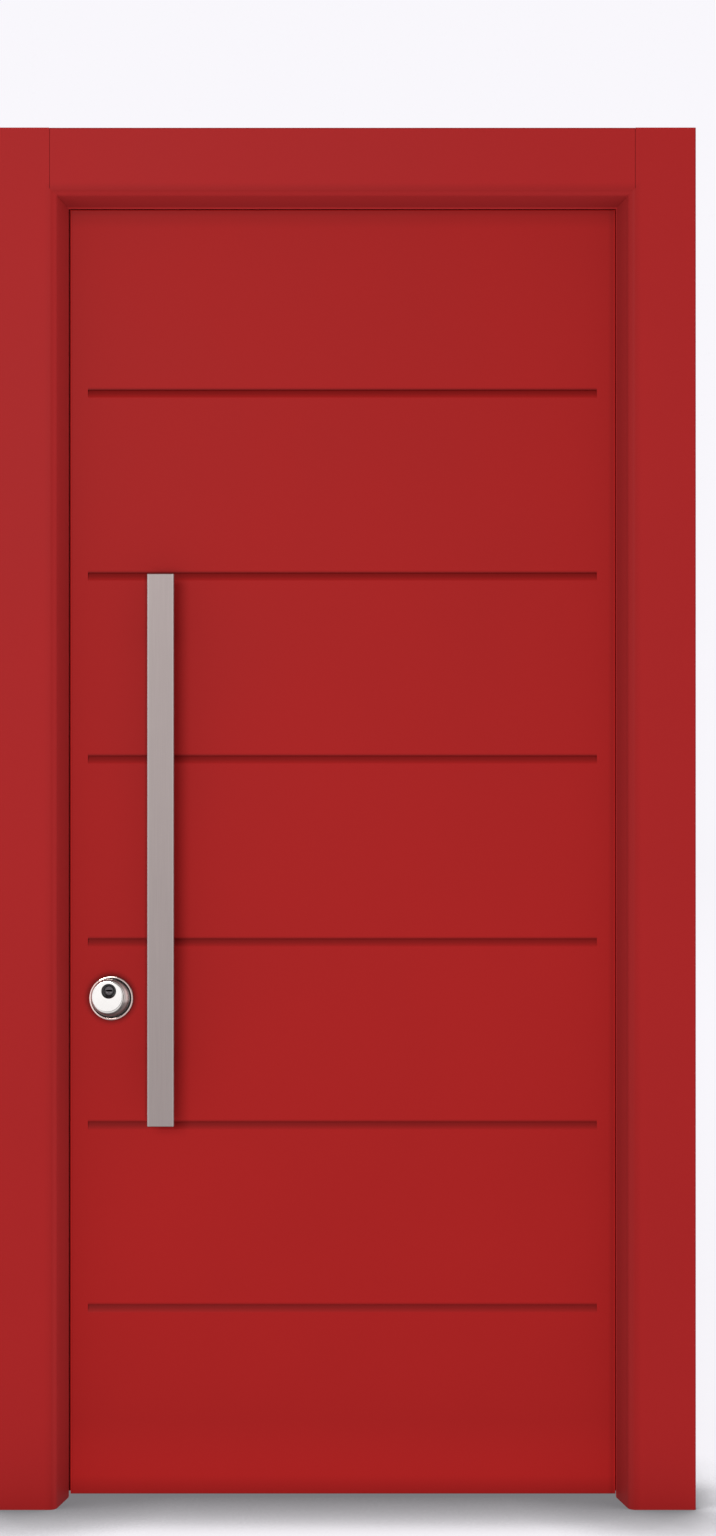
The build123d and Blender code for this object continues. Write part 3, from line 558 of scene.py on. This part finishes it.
keyGuide = {
    "centre": (plugAxis.x, -0.0461, plugAxis.z),
    "drop": 0.0052,            # the tip's place below the plug's axis
    "arm": 0.0056,
    "slope": 36.0,
    "thickness": 0.0009,
    "depth": 0.0006,
}


def chevron():
    # The raised guide under the keyway
    mesh = bmesh.new()
    x, y, z = keyGuide["centre"]
    slope = math.radians(keyGuide["slope"])
    half = keyGuide["arm"] / 2
    for side in (-1, 1):
        centre = (x + side * half * math.cos(slope), y, z - keyGuide["drop"] + half * math.sin(slope))
        bevelledBar(mesh, centre, (keyGuide["arm"], keyGuide["depth"], keyGuide["thickness"]), -side * slope)
    return mesh


# The seam's coat is the frame's red painted darker, as the shade in the seam
seamShadePaint = sprayedCoat("seamShadePaint", tuple(channel * seam["shade"] for channel in coat["frameRed"]))
piece("guardRubber", "leaf", rubberRing(), softRubber("ringRubber", (0.012, 0.011, 0.010)))
piece("seamFiller", "frame", seamFiller(), seamShadePaint)
# The key guide's nickel is painted dark, as in the shade of the guard's mouth
piece("keyGuide", "key_plug", chevron(), polishedMetal("guideShadedNickel", (0.13, 0.12, 0.12), 0.35))
print("small pieces ready")


# Studio

studio = {
    "floorFlat": 26.0,         # the pale floor is flat this far out, then curves up into the backdrop
    "curve": 8.0,
    "wall": 14.0,
    "paper": (0.935, 0.919, 0.962),
    "glow": 0.90,              # how much of the paper's brightness doesn't depend on the light
    "farGlow": 0.96,
    "glowReach": (3.0, 14.0),
    "skyTone": (1.0, 1.0, 1.0),
    "skyStrength": 0.35,
    # The soft shadow round whatever stands on the floor, by the share of the sky it leaves open
    "shadowReach": 0.18,
    "shadowDepth": [(0.0, 0.23), (0.6, 0.46), (0.9, 0.76), (1.0, 1.03)],
}


def backdropPaper():
    finish = Finish("backdropPaper")
    fibre = finish.noise(30.0, 3.0, 0.5)
    low = tuple(channel * 0.99 for channel in studio["paper"])
    color = finish.blend(fibre, low, studio["paper"])
    spot = finish.node("ShaderNodeTexCoord", output=3)
    out = finish.node("ShaderNodeVectorMath", {"operation": "LENGTH"}, {0: spot}, output=1)
    opened = finish.node("ShaderNodeAmbientOcclusion", {"samples": 8},
                         {"Distance": studio["shadowReach"]}, output=1)
    color = finish.shaded(color, finish.curve(opened, 0.5, 1.0, studio["shadowDepth"]))
    share = finish.span(finish.contrast(out, *studio["glowReach"]), studio["glow"], studio["farGlow"])
    matt = finish.node("ShaderNodeBsdfDiffuse", None, {"Color": color})
    light = finish.node("ShaderNodeEmission", None, {"Color": color, "Strength": 1.0})
    mixed = finish.node("ShaderNodeMixShader", None, {0: share, 1: matt, 2: light})
    finish.node("ShaderNodeOutputMaterial", None, {"Surface": mixed})
    return finish.material


def backdrop():
    flat = studio["floorFlat"]
    curve = studio["curve"]
    mesh = bmesh.new()
    rim = [(0.0, 0.0)]
    rim += [(flat * step / 4, 0.0) for step in range(1, 5)]
    rim += [(flat + curve * math.sin(turn), curve - curve * math.cos(turn))
            for turn in (math.radians(7.5 * step) for step in range(1, 13))]
    rim.append((flat + curve, studio["wall"]))
    points = [mesh.verts.new((radius, 0, height)) for radius, height in rim]
    edges = [mesh.edges.new(pair) for pair in zip(points, points[1:])]
    bmesh.ops.spin(mesh, geom=points + edges, cent=(0, 0, 0), axis=(0, 0, 1), angle=math.tau, steps=96,
                   use_merge=True)
    bmesh.ops.remove_doubles(mesh, verts=mesh.verts, dist=0.0005)
    bmesh.ops.recalc_face_normals(mesh, faces=mesh.faces)
    data = bpy.data.meshes.new("backdrop")
    mesh.to_mesh(data)
    mesh.free()
    for face in data.polygons:
        face.use_smooth = True
    made = bpy.data.objects.new("backdrop", data)
    bpy.context.scene.collection.objects.link(made)
    made.data.materials.append(backdropPaper())


def softLight(name, place, aim, size, watts, mirrored=True):
    lamp = bpy.data.lights.new(name, "AREA")
    lamp.shape = "RECTANGLE"
    lamp.size, lamp.size_y = size
    lamp.energy = watts
    made = bpy.data.objects.new(name, lamp)
    bpy.context.scene.collection.objects.link(made)
    made.location = place
    made.rotation_euler = (Vector(aim) - Vector(place)).to_track_quat("-Z", "Y").to_euler()
    made.visible_glossy = mirrored


def sky():
    world = bpy.data.worlds.new("studioAir")
    bpy.context.scene.world = world
    world.use_nodes = True
    air = world.node_tree.nodes["Background"]
    air.inputs["Color"].default_value = (*studio["skyTone"], 1)
    air.inputs["Strength"].default_value = studio["skyStrength"]


def camera():
    view = {
        "place": (0.0, -4.393, 1.4745),
        "lens": 62.2,
        "shift": (0.01016, -0.1094),
    }
    eye = bpy.data.objects.new("camera", bpy.data.cameras.new("camera"))
    bpy.context.scene.collection.objects.link(eye)
    eye.location = view["place"]
    eye.rotation_euler = (math.radians(90), 0, 0)
    eye.data.lens = view["lens"]
    eye.data.sensor_width = 36.0
    eye.data.shift_x, eye.data.shift_y = view["shift"]
    eye.data.clip_end = 100.0
    bpy.context.scene.camera = eye


camera()
backdrop()
sky()
softLight("key", (-1.7, -8.0, 2.9), (0, 0, 1.1), (2.6, 2.6), 330)
softLight("fill", (-0.9, -7.0, 0.5), (0, 0, 0.7), (2.2, 1.0), 90, mirrored=False)
softLight("rear", (-2.5, 7.0, 4.0), (0, 0, 1.1), (2.5, 2.5), 300, mirrored=False)
bpy.context.scene.view_settings.view_transform = "Standard"
print("studio ready")
